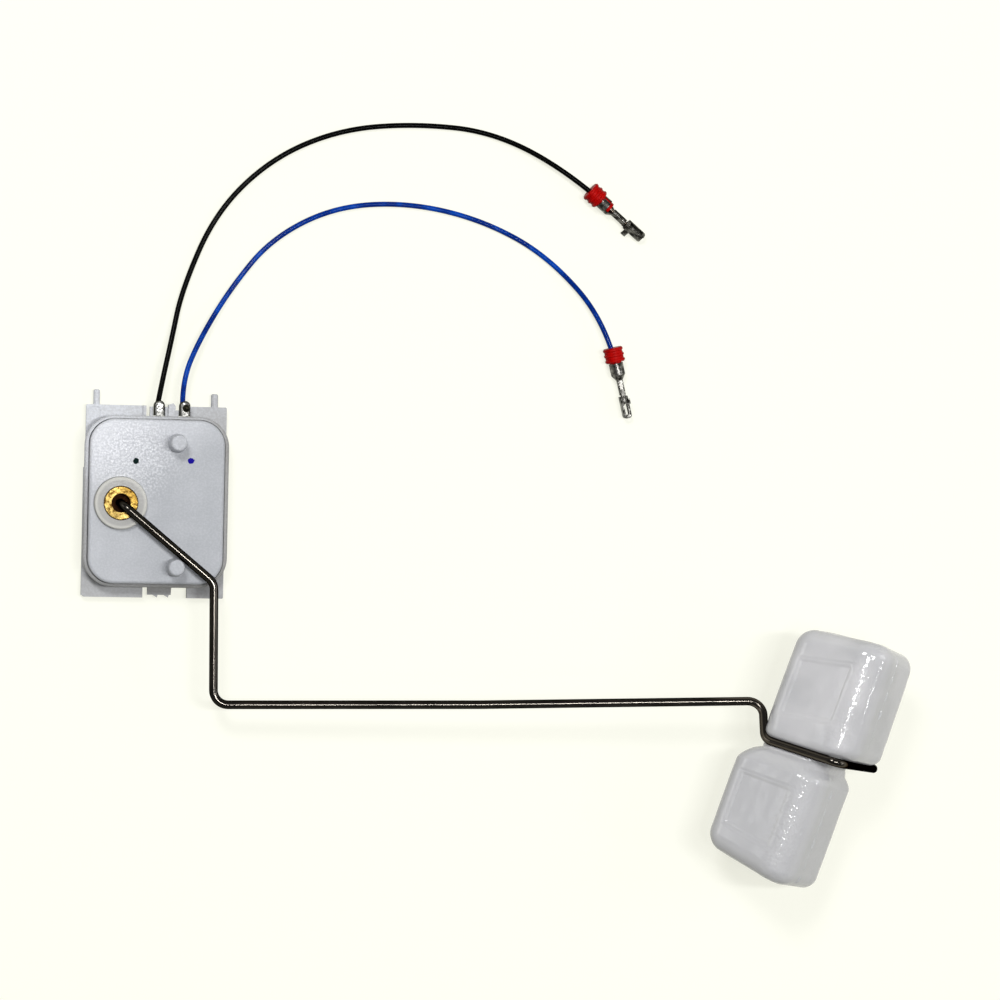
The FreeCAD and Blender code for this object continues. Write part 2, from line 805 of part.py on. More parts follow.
black_route = lead_route(black_lead_x, black_fall, black_floor, black_end)
blue_route = lead_route(blue_lead_x, blue_fall, blue_floor, blue_end)
save(make_lead("black", black_route), "lead_black")
save(make_lead("blue", blue_route), "lead_blue")
save(make_terminal(black_x, black_route, []), "terminal_black")
save(make_terminal(blue_x, blue_route, [solder_drop(blue_x)]), "terminal_blue")

for colour, end in (("black", black_end), ("blue", blue_end)):
    for name, shape in (("seal", make_seal()), ("contact", make_contact()), ("strands", make_strands())):
        shape.Placement = end.multiply(shape.Placement)
        save(shape, name + "_" + colour)
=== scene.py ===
# %% [markdown]
# Fuel level sender
# A level sender hangs in a fuel tank. Its float rides on the fuel and swings a wire arm, and the
# arm turns a rotor in a sealed plastic housing. The solids of the part come in as a fixed frame.
# This lesson gives each of them its finish, lays the two leads as smooth curves, and models the
# blow-moulded float as one lofted shell.

# %% Load the frame
import math

import bpy
from mathutils import Matrix, Vector, noise


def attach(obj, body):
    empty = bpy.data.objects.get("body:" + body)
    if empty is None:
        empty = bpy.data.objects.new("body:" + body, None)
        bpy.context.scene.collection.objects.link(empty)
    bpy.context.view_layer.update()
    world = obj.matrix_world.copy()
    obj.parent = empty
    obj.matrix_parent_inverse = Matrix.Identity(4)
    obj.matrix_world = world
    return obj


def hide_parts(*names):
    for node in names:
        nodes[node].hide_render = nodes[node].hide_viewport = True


MM = 0.001
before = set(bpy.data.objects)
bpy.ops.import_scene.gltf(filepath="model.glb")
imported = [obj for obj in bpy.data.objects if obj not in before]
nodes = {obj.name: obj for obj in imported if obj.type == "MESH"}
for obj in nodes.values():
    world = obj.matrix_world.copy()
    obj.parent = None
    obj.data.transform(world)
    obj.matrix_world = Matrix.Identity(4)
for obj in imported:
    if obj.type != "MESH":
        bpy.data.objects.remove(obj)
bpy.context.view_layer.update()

# %% [markdown]
# The camera comes first, because everything is judged through it. The photograph looks down on
# the sender from ten degrees to the left of the vertical, with a long lens. A camera can be aimed
# with a constraint, but three plain axes set as the columns of a matrix leave nothing to chance.

# %% Camera
lean = math.radians(10.0)
roll = math.radians(1.2)
sight = Vector((math.sin(lean), 0, -math.cos(lean)))
level = Vector((math.cos(lean), 0, math.sin(lean)))
across = level * math.cos(roll) + Vector((0, 1, 0)) * math.sin(roll)
upright = across.cross(sight)
stand = Vector((-52.67, 2.94, 896.33)) * MM

lens = bpy.data.cameras.new("camera")
lens.lens = 117.96
lens.sensor_width = 36.0
lens.clip_start = 0.05
lens.clip_end = 50.0
camera = bpy.data.objects.new("camera", lens)
bpy.context.scene.collection.objects.link(camera)
axes = Matrix((across, upright, -sight)).transposed()
camera.matrix_world = Matrix.Translation(stand) @ axes.to_4x4()
bpy.context.scene.camera = camera
print("camera stands at", [round(x, 3) for x in stand])

# %% [markdown]
# Each lead is a thin stranded wire in soft insulation. It leaves its terminal straight, falls to
# the surface and runs on in one loose arc to a rubber seal. A spline of third order through a few
# control points has no flat runs and no kinks, so it lies the way a lead does. The same points
# shape the solid leads of the frame, so curve and solid share their place.

# %% Leads
lead_d = 1.45

black_route = [
    (9.55, 26.40, 5.65), (10.80, 33.40, 5.40), (13.20, 44.50, 3.00), (15.95, 58.50, 0.73),
    (24.65, 79.80, 0.73), (39.40, 95.00, 0.73), (57.90, 103.75, 0.73), (78.70, 106.35, 0.73),
    (101.50, 104.95, 0.73), (122.95, 93.93, 3.49), (134.21, 84.69, 2.58),
]
blue_route = [
    (16.40, 26.40, 5.65), (16.20, 33.60, 5.50), (20.90, 45.10, 3.10), (29.35, 59.50, 0.73),
    (40.30, 73.40, 0.73), (57.60, 82.70, 0.73), (78.10, 84.50, 0.73), (99.00, 80.30, 0.73),
    (117.70, 70.80, 0.73), (133.94, 52.71, 3.49), (137.61, 38.61, 2.58),
]


def lay_lead(colour, route):
    """One lead as a smooth curve that rides on the housing in place of the solid lead."""
    curve = bpy.data.curves.new("insulation_" + colour, "CURVE")
    curve.dimensions = "3D"
    curve.resolution_u = 24
    curve.bevel_depth = 1.0
    curve.bevel_resolution = 8
    curve.use_fill_caps = True
    line = curve.splines.new("NURBS")
    line.points.add(len(route) - 1)
    for point, spot in zip(line.points, route):
        point.co = (*(Vector(spot) * MM), 1.0)
        point.radius = lead_d / 2 * MM
    line.order_u = 3
    line.use_endpoint_u = True
    lead = bpy.data.objects.new("insulation_" + colour, curve)
    bpy.context.scene.collection.objects.link(lead)
    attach(lead, "housing")
    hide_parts("lead_" + colour)
    return lead


black_lead = lay_lead("black", black_route)
blue_lead = lay_lead("blue", blue_route)
print("two leads laid, with", len(black_route), "and", len(blue_route), "control points")

# %% [markdown]
# A finish is a network of shader nodes. Drawn by hand it is easy to see but hard to change.
# Written as sums in Python it stays short: the class below wraps one output socket, and adding or
# multiplying two of them adds the Math node that does it.

# %% Sums of sockets
class Signal:
    """An output socket that can stand in a Python sum."""

    def __init__(self, finish, socket):
        self.finish = finish
        self.socket = socket

    def maths(self, operation, *terms):
        return self.finish.node("ShaderNodeMath", {"operation": operation}, dict(enumerate(terms)))

    def __add__(self, other):
        return self.maths("ADD", self, other)

    def __radd__(self, other):
        return self.maths("ADD", other, self)

    def __sub__(self, other):
        return self.maths("SUBTRACT", self, other)

    def __rsub__(self, other):
        return self.maths("SUBTRACT", other, self)

    def __mul__(self, other):
        return self.maths("MULTIPLY", self, other)

    def __rmul__(self, other):
        return self.maths("MULTIPLY", other, self)

    def fade(self, low, high):
        """0 at low and 1 at high, with a soft start and end."""
        settings = {"interpolation_type": "SMOOTHSTEP"}
        return self.finish.node("ShaderNodeMapRange", settings, {0: self, 1: low, 2: high})


class Finish:
    """A node tree that grows through one method."""

    def __init__(self, tree):
        self.tree = tree
        tree.nodes.clear()

    def node(self, kind, settings=None, sockets=None, take=0):
        made = self.tree.nodes.new(kind)
        for name, value in (settings or {}).items():
            setattr(made, name, value)
        for name, value in (sockets or {}).items():
            if isinstance(value, Signal):
                self.tree.links.new(value.socket, made.inputs[name])
            else:
                made.inputs[name].default_value = value
        return Signal(self, made.outputs[take]) if made.outputs else None

    def surface(self, shader):
        self.node("ShaderNodeOutputMaterial", {}, {"Surface": shader})

    def place(self):
        """Where a point lies in the frame of the part, in millimetres."""
        spot = self.node("ShaderNodeTexCoord", take="Object")
        return self.node("ShaderNodeVectorMath", {"operation": "SCALE"}, {0: spot, "Scale": 1000.0})

    def clouds(self, spot, size, detail=2.0):
        """Soft noise with patches about this many millimetres across."""
        return self.node("ShaderNodeTexNoise", {}, {"Vector": spot, "Scale": 1 / size, "Detail": detail})

    def tint(self, share, first, second):
        """A colour between two colours."""
        return self.node("ShaderNodeMix", {"data_type": "RGBA"}, {0: share, 6: first, 7: second}, take=2)

    def relief(self, height, depth, strength=1.0):
        """A normal that follows a height, with depth in millimetres."""
        sockets = {"Strength": strength, "Distance": depth * MM, "Height": height}
        return self.node("ShaderNodeBump", {}, sockets)

    def vector(self, operation, first, second):
        """One step of vector arithmetic."""
        return self.node("ShaderNodeVectorMath", {"operation": operation}, {0: first, 1: second})

    def measure(self, operation, first, second):
        """Vector arithmetic that ends in one number."""
        settings = {"operation": operation}
        return self.node("ShaderNodeVectorMath", settings, {0: first, 1: second}, take="Value")

    def along(self, spot, direction):
        """How far a point lies along one direction."""
        return self.measure("DOT_PRODUCT", spot, direction)

    def around_axis(self, spot, x=0.0, y=0.0):
        """Distance of a point from an upright line through x and y."""
        return self.measure("DISTANCE", self.vector("MULTIPLY", spot, (1, 1, 0)), (x, y, 0))

    def coat(self, sockets):
        """A Principled shader with these values."""
        return self.node("ShaderNodeBsdfPrincipled", {}, sockets)

    def blend(self, share, first, second):
        """One shader where share is 0 and another where it is 1."""
        return self.node("ShaderNodeMixShader", {}, {0: share, 1: first, 2: second})


def colour(red, green, blue):
    return (red, green, blue, 1.0)


def new_finish(name):
    material = bpy.data.materials.new(name)
    material.use_nodes = True
    return material, Finish(material.node_tree)


def wear(piece, material):
    """Puts one material on every face of a piece."""
    piece.data.materials.clear()
    piece.data.materials.append(material)


print("finishes are written as sums of sockets")

# %% [markdown]
# The sender lies on a plain pale floor. A floor lit to pure white would need so much light that
# the white plastic clips. So the floor is a grey that takes the shadow, and a glow that only the
# camera and mirror-like surfaces see lifts it to white. The room shown to polished metal is pale at
# the horizon and dim overhead, because metal looks like metal only where it mirrors a contrast.

# %% Floor and surroundings
pale = colour(1.0, 1.0, 0.88)


def seen_directly(finish):
    """1 for rays from the camera, a polished surface or a clear one."""
    rays = [finish.node("ShaderNodeLightPath", take=name) for name in
            ("Is Camera Ray", "Is Glossy Ray", "Is Transmission Ray")]
    return (rays[0] + rays[1] + rays[2]).fade(0.0, 1.0)


floor_mesh = bpy.data.meshes.new("floor")
floor_half = 3.0
floor_z = -0.1 * MM
turns = [(-1, -1), (1, -1), (1, 1), (-1, 1)]
corners = [(x * floor_half, y * floor_half, floor_z) for x, y in turns]
floor_mesh.from_pydata(corners, [], [(0, 1, 2, 3)])
floor = bpy.data.objects.new("floor", floor_mesh)
bpy.context.scene.collection.objects.link(floor)

material, finish = new_finish("pale_floor")
matt = finish.node("ShaderNodeBsdfDiffuse", {}, {"Color": colour(0.30, 0.30, 0.28)})
glow = finish.node("ShaderNodeEmission", {}, {"Color": pale, "Strength": seen_directly(finish) * 0.72})
finish.surface(finish.node("ShaderNodeAddShader", {}, {0: matt, 1: glow}))
wear(floor, material)

world = bpy.data.worlds.new("studio")
bpy.context.scene.world = world
world.use_nodes = True
finish = Finish(world.node_tree)
soft = finish.node("ShaderNodeBackground", {}, {"Color": colour(0.96, 0.98, 1.0), "Strength": 0.13})
direction = finish.node("ShaderNodeTexCoord", take="Generated")
overhead = finish.along(direction, (0, 0, 1)).fade(0.16, 0.42)
room = finish.tint(overhead, pale, colour(0.14, 0.14, 0.14))
shown = finish.node("ShaderNodeBackground", {}, {"Color": room, "Strength": 1.0})
finish.node("ShaderNodeOutputWorld", {}, {"Surface": finish.blend(seen_directly(finish), soft, shown)})
print("floor and surroundings are", pale[:3])

# %% [markdown]
# The photograph has its main light above the upper edge, steep enough to leave a short shadow below
# the rim of the housing, and paler ones from the right and the left. Metal needs small bright
# sources as well. Each place on the wire mirrors one point overhead, so a narrow strip draws the
# line along the level run and a small lamp beside the camera the one on the upright run. One more
# small box adds a streak to the round edge of the float.

# %% Lamps
part_middle = (0.08, 0.0, 0.0)
float_low = (0.19, -0.065, 0.02)


def softbox(name, place, size, power, aim=part_middle):
    """A rectangular lamp that faces a point."""
    lamp = bpy.data.lights.new(name, "AREA")
    lamp.shape = "RECTANGLE"
    lamp.size, lamp.size_y = size
    lamp.energy = power
    holder = bpy.data.objects.new(name, lamp)
    bpy.context.scene.collection.objects.link(holder)
    back = (Vector(place) - Vector(aim)).normalized()
    side = Vector((0, 1, 0)).cross(back).normalized()
    turned = Matrix((side, back.cross(side), back)).transposed().to_4x4()
    holder.matrix_world = Matrix.Translation(place) @ turned
    return holder


lamps = [
    softbox("upper_softbox", (-0.22, 0.48, 0.95), (0.24, 0.24), 5.1),
    softbox("left_fill", (-0.85, 0.20, 0.32), (0.40, 0.40), 0.8),
    softbox("right_softbox", (1.00, 0.10, 0.55), (0.40, 0.40), 1.5),
    softbox("streak_box", (1.00, -0.30, 0.62), (0.07, 0.07), 0.4, float_low),
    softbox("wire_strip", (0.32, 0.03, 1.03), (0.32, 0.05), 4.2),
    softbox("camera_lamp", (0.09, -0.05, 1.03), (0.06, 0.14), 1.4),
]
bpy.context.scene.view_settings.view_transform = "Standard"
print("lamps:", [lamp.name for lamp in lamps])

# %% [markdown]
# Base, cover and rotor are moulded from natural plastic: milky, with a fine grain that glitters.
# Glass-like transmission would be slow and too clear. A little light spread below the surface,
# specks in the colour and a shallow grain in the normal give the same milky look. The colour is
# painted paler towards the upper left corner and along the left side, a painted light from the
# upper left, and paler in the flat plate, a painted light too. The rotor is painted paler at its
# rim, a painted highlight. The glitter is strongest round one place on the cover, and there the
# specks in the colour are painted stronger, as painted glints.

# %% Natural plastic
glint_middle = (3.0, 12.0)
glint_fade = (4.0, 16.0)
plate_top = 2.4
rim_highlight_start = (5.9, 6.6)


def natural_plastic(name, shade, light, thin):
    """A milky plastic between two colours. Thin says how much paler the upper left is painted, as
    painted light.
    """
    material, finish = new_finish(name)
    spot = finish.place()
    speck = finish.clouds(spot, 0.55, 3.0).fade(0.38, 0.68)
    cloud = finish.clouds(spot, 9.0, 2.0).fade(0.30, 0.70)
    # painted light: paler towards the upper left corner
    wall = finish.along(spot, (-0.5, 0.85, 0.0)).fade(-4.0, 22.0)
    glint = 1 - finish.around_axis(spot, *glint_middle).fade(*glint_fade)
    # painted light: paler along the left side
    left = 1 - finish.along(spot, (1, 0, 0)).fade(-8.0, 14.0)
    # painted light: the flat plate is painted paler
    painted_plate_light = 1 - finish.along(spot, (0, 0, 1)).fade(plate_top + 0.1, plate_top + 0.5)
    # painted glints: the specks in the colour are stronger round the glint place
    grain_and_painted_glints = speck * (0.12 + 0.10 * wall + 0.24 * glint) - 0.10 * glint - 0.03
    share = grain_and_painted_glints + cloud * 0.10 + wall * thin + left * 0.14 + painted_plate_light * (1 - wall) * 0.16
    grit = finish.clouds(spot, 0.35, 3.0) * (0.14 + 0.86 * glint)
    sockets = {
        "Base Color": finish.tint(share, colour(*shade), colour(*light)),
        "Roughness": 0.58 - 0.44 * (speck * glint),
        "IOR": 1.5,
        "Subsurface Weight": 0.15,
        "Subsurface Radius": (1.0, 1.0, 1.1),
        "Subsurface Scale": 1.0 * MM,
        "Normal": finish.relief(grit, 0.10, 0.8),
    }
    return material, finish, sockets


grey, milk = (0.28, 0.275, 0.265), (0.68, 0.70, 0.74)
material, finish, sockets = natural_plastic("base_plastic", grey, milk, 0.58)
finish.surface(finish.coat(sockets))
wear(nodes["base_housing"], material)

grey, milk = (0.37, 0.365, 0.35), (0.56, 0.56, 0.53)
material, finish, sockets = natural_plastic("rotor_plastic", grey, milk, 0.2)
# painted highlight: the rim of the rotor is painted paler
painted_rim_highlight = finish.around_axis(finish.place()).fade(*rim_highlight_start)
sockets["Base Color"] = finish.tint(painted_rim_highlight * 0.7, sockets["Base Color"], colour(0.60, 0.595, 0.545))
finish.surface(finish.coat(sockets))
wear(nodes["rotor"], material)
print("base and rotor wear natural plastic")

# %% [markdown]
# The cover carries two dots of ink, one dark green and one blue, dabbed on after a test. They could
# be thin discs of mesh, but ink has no thickness. The distance to a point, made ragged with noise,
# mixes a dull ink shader into the plastic.

# %% Cover with ink dots
def ink_dot(finish, spot, under, place, radius, stretch, thick, thin):
    """Mixes one dab of ink over a shader."""
    ragged = finish.clouds(spot, 0.7, 2.0) * 1.4 - 0.7
    offset = finish.vector("SUBTRACT", spot, (*place, 0.0))
    apart = finish.measure("DISTANCE", finish.vector("MULTIPLY", offset, stretch), (0, 0, 0))
    covered = 1 - (apart + ragged * 0.5).fade(radius - 0.12, radius + 0.06)
    sockets = {
        "Base Color": finish.tint(finish.clouds(spot, 0.4), colour(*thick), colour(*thin)),
        "Roughness": 0.55,
        "Specular IOR Level": 0.04,
    }
    return finish.blend(covered, under, finish.coat(sockets))


green_dot = (3.88, 11.40)
blue_dot = (18.68, 11.73)

grey, milk = (0.40, 0.415, 0.44), (0.81, 0.82, 0.86)
material, finish, sockets = natural_plastic("cover_plastic", grey, milk, 0.50)
spot = finish.place()
shader = finish.coat(sockets)
green = ((0.001, 0.006, 0.005), (0.002, 0.018, 0.015))
blue = ((0.005, 0.0015, 0.18), (0.012, 0.004, 0.34))
shader = ink_dot(finish, spot, shader, green_dot, 0.84, (1, 1, 0), *green)
shader = ink_dot(finish, spot, shader, blue_dot, 0.88, (0.9, 1.1, 0), *blue)
finish.surface(shader)
wear(nodes["cover"], material)
print("ink dots at", green_dot, blue_dot)

# %% [markdown]
# The bush in the rotor is turned brass, dull in patches and more orange on one side. The rings of
# the turning tool are a sine of the distance from the pivot. The bore and the gap at the serrated
# rim are painted dark brown, a painted shade in the hole and the gap.

# %% Brass
bush_edge = (4.25, 4.50)
bush_bore = (2.50, 2.66)
tool_pace = 26.0

material, finish = new_finish("turned_brass")
spot = finish.place()
radius = finish.around_axis(spot)
ring = radius * tool_pace
tarnish = finish.clouds(spot, 0.9, 4.0).fade(0.44, 0.66)
# painted shade: the bore and the gap at the serrated rim are painted dark brown
painted_hole_and_gap_shade = 1 - (1 - radius.fade(*bush_edge)) * radius.fade(*bush_bore)
# darker and more orange towards the upper right
orange_side = finish.along(spot, (0.85, 0.5, 0.0)).fade(-1.0, 4.5)
brass_tone = finish.tint(orange_side * 0.7, colour(0.61, 0.43, 0.13), colour(0.46, 0.25, 0.025))
golden = finish.tint(tarnish, brass_tone, colour(0.15, 0.075, 0.013))
sockets = {
    "Base Color": finish.tint(painted_hole_and_gap_shade, golden, colour(0.022, 0.009, 0.004)),
    "Metallic": 1.0,
    "Roughness": 0.32 + 0.2 * tarnish,
    "Normal": finish.relief(ring.maths("SINE", ring) + 2 * finish.clouds(spot, 0.5), 0.02, 0.7),
}
finish.surface(finish.coat(sockets))
wear(nodes["brass_bush"], material)
print("brass on the bush")

# %% [markdown]
# The arm is hard-drawn steel wire with a dark skin. Against a white room only a dark metal shows
# near-black edges beside its bright line. The top is painted brighter than the flanks, a painted
# highlight, and the normal of the surface tells the top from the flanks. All round where the float
# grips the wire it is painted brighter too, a painted reflection of the white float.

# %% Arm wire
grip_reflection_start = (158.0, 172.0)

material, finish = new_finish("drawn_wire")
spot = finish.place()
rub = finish.clouds(spot, 6.0, 2.0).fade(0.35, 0.70)
facing = finish.node("ShaderNodeTexCoord", take="Normal")
# painted highlight: the top of the wire is painted brighter than its flanks
painted_highlight_top = finish.along(facing, (0, 0, 1)).fade(0.70, 0.98)
# painted reflection: the wire is painted brighter all round where the float grips it
painted_grip_reflection = finish.along(spot, (1, 0, 0)).fade(*grip_reflection_start)
skin_with_grip_reflection = finish.tint(rub, colour(0.014, 0.013, 0.011), colour(0.021, 0.019, 0.016))
skin_with_grip_reflection = finish.tint(painted_grip_reflection, skin_with_grip_reflection, colour(0.075, 0.065, 0.055))
highlight_top_tone = finish.tint(rub, colour(0.068, 0.062, 0.054), colour(0.092, 0.084, 0.072))
sockets = {
    "Base Color": finish.tint(painted_highlight_top, skin_with_grip_reflection, highlight_top_tone),
    "Metallic": 1.0,
    "Roughness": 0.14 + 0.04 * rub,
    "Specular Tint": colour(0.02, 0.02, 0.02),
    "Normal": finish.relief(finish.clouds(spot, 1.5), 0.004, 0.4),
}
finish.surface(finish.coat(sockets))
wear(nodes["float_arm"], material)
print("dark steel on the arm")

# %% [markdown]
# Contacts, can and springs are stamped from tinned sheet. Tin is bright where the tool has rubbed
# it and dull grey elsewhere, so both colour and roughness follow one noise.

# %% Tinned metal
def tinned(name, dull, bright, patch):
    material, finish = new_finish(name)
    spot = finish.place()
    rub = finish.clouds(spot, patch, 3.0).fade(0.40, 0.72)
    sockets = {
        "Base Color": finish.tint(rub, colour(*dull), colour(*bright)),
        "Metallic": 1.0,
        "Roughness": 0.44 - 0.14 * rub,
        "Normal": finish.relief(finish.clouds(spot, patch * 0.5), 0.012, 0.5),
    }
    finish.surface(finish.coat(sockets))
    return material


contact_tin = tinned("contact_tin", (0.026, 0.025, 0.022), (0.22, 0.215, 0.20), 1.3)
can_tin = tinned("can_tin", (0.40, 0.40, 0.39), (0.66, 0.66, 0.64), 4.0)
spring_foil = tinned("spring_foil", (0.42, 0.38, 0.32), (0.68, 0.63, 0.55), 2.0)
for side in ("black", "blue"):
    wear(nodes["contact_" + side], contact_tin)
wear(nodes["sensor_can"], can_tin)
wear(nodes["contact_comb"], spring_foil)
print("tin on contacts, can and springs")

# %% [markdown]
# Each lead is soldered into a terminal with a bright crown. The crown is darker along its rim and
# towards its foot, and the drop of solder on the blue one is painted dark, a painted dark
# reflection. The rim is found as on a running track: the distance to a straight line that ends in
# a half circle.

# %% Terminals
crown_half = 1.5
crown_turn = 26.6
crown_foot = (24.9, 25.5)
crown_far = 9.0
solder_drop = (17.4, 26.0)
drop_edge = (1.25, 1.55)


def terminal_finish(name, middle, drop=None):
    material, finish = new_finish(name)
    spot = finish.place()
    offset = finish.vector("SUBTRACT", spot, (middle, crown_turn, 0.0))
    flat = finish.vector("MULTIPLY", offset, (1, 1, 0))
    track = finish.vector("MAXIMUM", flat, (-crown_far, 0.0, 0.0))
    dark_rim = finish.measure("DISTANCE", track, (0, 0, 0)).fade(crown_half - 0.60, crown_half - 0.25)
    fleck = finish.clouds(spot, 0.5, 2.0).fade(0.49, 0.55)
    low = 1 - finish.along(spot, (0, 1, 0)).fade(*crown_foot)
    dark = dark_rim.maths("MAXIMUM", dark_rim, fleck * 0.85)
    dark = dark.maths("MAXIMUM", dark, low * 0.6)
    # painted reflection: the solder drop on the blue terminal is painted dark
    if drop:
        apart = finish.around_axis(spot, *drop) + 0.5 * finish.clouds(spot, 0.5)
        dark = dark.maths("MAXIMUM", dark, 1 - apart.fade(*drop_edge))
    sockets = {
        "Base Color": finish.tint(dark, colour(0.62, 0.62, 0.60), colour(0.022, 0.021, 0.014)),
        "Metallic": 1.0,
        "Roughness": 0.34 + 0.1 * dark,
        "Normal": finish.relief(finish.clouds(spot, 0.4), 0.03, 0.6),
    }
    finish.surface(finish.coat(sockets))
    return material


wear(nodes["terminal_black"], terminal_finish("black_terminal_tin", 10.1))
wear(nodes["terminal_blue"], terminal_finish("blue_terminal_tin", 17.0, solder_drop))
print("tin on the terminals")

# %% [markdown]
# The insulation of a lead is soft plastic with a clear gloss, and the seals are red silicone with
# a waxy one. Both are one colour to the eye, and small shifts in tone and gloss keep them real.

# %% Insulation and seals
def soft_skin(name, base, worn, rough, gloss):
    material, finish = new_finish(name)
    spot = finish.place()
    patch = finish.clouds(spot, 4.0, 3.0).fade(0.38, 0.68)
    sockets = {
        "Base Color": finish.tint(patch, colour(*base), colour(*worn)),
        "Roughness": rough - 0.05 + 0.12 * patch,
        "IOR": 1.5,
        "Specular IOR Level": gloss,
        "Normal": finish.relief(finish.clouds(spot, 0.7), 0.02, 0.5),
    }
    finish.surface(finish.coat(sockets))
    return material


soot, slate = (0.0004, 0.0004, 0.0004), (0.001, 0.001, 0.001)
wear(black_lead, soft_skin("black_insulation", soot, slate, 0.22, 0.04))
wear(blue_lead, soft_skin("blue_insulation", (0.0, 0.019, 0.19), (0.0, 0.056, 0.40), 0.20, 0.08))
seal_red = soft_skin("seal_red", (0.28, 0.0005, 0.0004), (0.44, 0.002, 0.0012), 0.42, 0.06)
for side in ("black", "blue"):
    wear(nodes["seal_" + side], seal_red)
print("insulation and seals are finished")

# %% [markdown]
# The strands in each crimp are tinned copper, and the sealed pieces are never seen. They still get a
# finish of their own, because the part may be opened up or cut through later.

# %% Strands and sealed pieces
def plain_solid(name, base, second, patch, metal, rough):
    material, finish = new_finish(name)
    spot = finish.place()
    fleck = finish.clouds(spot, patch, 4.0).fade(0.36, 0.66)
    sockets = {
        "Base Color": finish.tint(fleck, colour(*base), colour(*second)),
        "Metallic": metal,
        "Roughness": rough - 0.06 + 0.14 * fleck,
        "Normal": finish.relief(finish.clouds(spot, patch * 0.4), 0.02, 0.5),
    }
    finish.surface(finish.coat(sockets))
    return material


copper = plain_solid("tinned_copper", (0.10, 0.075, 0.055), (0.34, 0.29, 0.24), 0.4, 1.0, 0.40)
for side in ("black", "blue"):
    wear(nodes["strands_" + side], copper)
magnet = plain_solid("sintered_magnet", (0.06, 0.06, 0.065), (0.13, 0.13, 0.14), 0.3, 0.7, 0.5)
ceramic = plain_solid("fired_ceramic", (0.72, 0.72, 0.69), (0.84, 0.84, 0.81), 0.6, 0.0, 0.55)
film = plain_solid("spacer_film", (0.42, 0.24, 0.05), (0.54, 0.33, 0.09), 1.0, 0.0, 0.3)
wear(nodes["magnet"], magnet)
wear(nodes["ceramic_plate"], ceramic)
wear(nodes["comb_spacer"], film)
print("hidden pieces are finished")

# %% [markdown]
# The float is blown from white plastic in a two-part mould: two blocks side by side, shifted
# against each other, on one waist that the wire grips. Boxes joined by a boolean would meet in
# hard creases. A loft fits better: rounded outlines are set one behind another along the float and
# joined into one skin, and the outline shrinks at the ends and at the waist.

# %% Sizes of the float
float_side = 27.2
float_shift = 2.4
float_flare = 0.9
upper_end = 34.5
lower_end = 34.45
round_edge = 4.8
round_front = 8.0
round_back = 5.6
round_least = 0.3
waist_gap = 1.5
waist_left = -11.05
waist_right = 9.2
waist_sunk = 2.75
waist_run = 4.5
waist_reach = round_edge + 1.0
shoulder = round_edge + 0.4
shoulder_upper_right = 3.6

float_frame = (
    Matrix.Translation(Vector((189.9, -65.5, 20.65)) * MM)
    @ Matrix.Rotation(math.radians(-18.6), 4, "Z")
    @ Matrix.Rotation(math.radians(4.0), 4, "X")
    @ Matrix.Rotation(math.radians(-38.7), 4, "Y")
)
print("the float is", round(upper_end + lower_end, 1), "mm long and", float_side, "mm thick")

# %% [markdown]
# One function says how far the skin draws back near an edge. With fullness 2 the edge is a round,
# and towards 1 it flattens into a chamfer, as beside the waist. The front edge away from the arm
# has a much wider round than the rest.

# %% Rounding of the edges
full_round = 2.0
soft_shoulder = 1.45
soft_sink = 1.35


def draw_back(distance, reach, fullness=full_round):
    """How far the skin stands back at this distance from an edge."""
    if distance >= reach:
        return 0.0
    share = 1.0 - max(distance, 0.0) / reach
    return reach * (1.0 - (1.0 - share ** fullness) ** (1.0 / fullness))


def outline_at(y):
    """Left, right, front, back and the four corner radii of the float at this place along it."""
    upper = y > 0
    lobe = 1 if upper else -1
    end = upper_end if upper else lower_end
    to_end = end - abs(y)
    from_waist = abs(y) - waist_gap
    flare = float_flare * min(max(to_end / (end - waist_gap), 0.0), 1.0) if upper else 0.0
    left = lobe * float_shift - float_side / 2
    right = lobe * float_shift + float_side / 2 + flare
    front = float_side / 2
    if from_waist < waist_reach:
        fullness = full_round if upper else soft_shoulder
        right_shoulder = shoulder_upper_right if upper else shoulder
        left = min(waist_left, left + draw_back(from_waist, shoulder, fullness))
        right = max(waist_right, right - draw_back(from_waist, right_shoulder, fullness))
        if upper:
            front -= draw_back(from_waist, waist_sunk)
        else:
            front -= draw_back(from_waist, waist_run, soft_sink) * waist_sunk / waist_run
    plain = draw_back(to_end, round_edge)
    wide = max(round_front - plain, round_least)
    tight = max(round_edge - plain, round_least)
    far = max(round_back - plain, round_least)
    return left + plain, right - plain, front - plain, plain - front, [wide, tight, tight, far]


print("outline at the waist:", outline_at(0.0)[:4])

# %% [markdown]
# A rounded outline needs the same number of points in every ring, so that rings can be joined.
# Each corner gets an arc and each side gets steps. The front has many even ones for its panel. The
# two flanks have steps that crowd at mid-thickness, where the seam of the mould needs them.

# %% Rings of points
corner_steps = 9
front_steps = 72
flank_steps = 36
back_steps = 16
seam_level = 2.2


def shares(count, middle=None):
    """Steps from 0 to 1, even or crowded round the middle."""
    if middle is None:
        return [k / count for k in range(1, count)]
    found = []
    for k in range(1, count):
        away = 2 * k / count - 1
        away *= 0.2 + 0.8 * away * away
        found.append(middle + away * (middle if away < 0 else 1 - middle))
    return found


